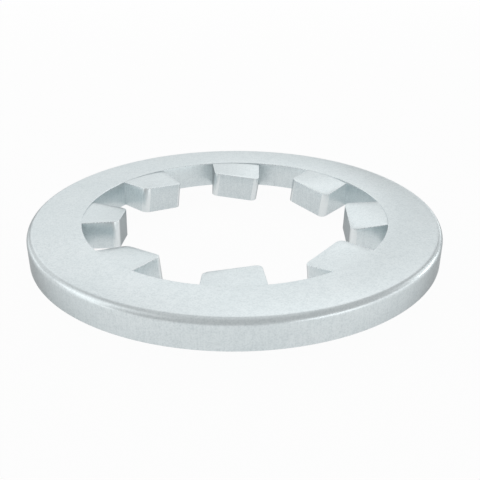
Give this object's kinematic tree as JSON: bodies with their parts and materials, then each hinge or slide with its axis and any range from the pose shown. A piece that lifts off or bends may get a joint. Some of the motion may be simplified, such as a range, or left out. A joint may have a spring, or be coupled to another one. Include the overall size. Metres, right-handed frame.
{
  "type": "internal-tooth lock washer",
  "caption": "Flat spring-steel ring with short twisted teeth round its bore that bite into a joint face and keep a screw or nut from working loose.",
  "frame": {"origin": "on the washer's axis, in the plane of the low tooth corners that it stands on", "axes": "+Z along the axis, from the low tooth corners to the face with the rounded rim; +X along the centre line of one tooth"},
  "size_m": [0.011, 0.011, 0.0009],
  "materials": {
    "zinc_plated_steel": "satin zinc plating on stamped spring steel, pale bluish grey with a fine grain"
  },
  "bodies": {
    "root": {"toothed_lock_washer": "zinc_plated_steel"}
  },
  "joints": []
}
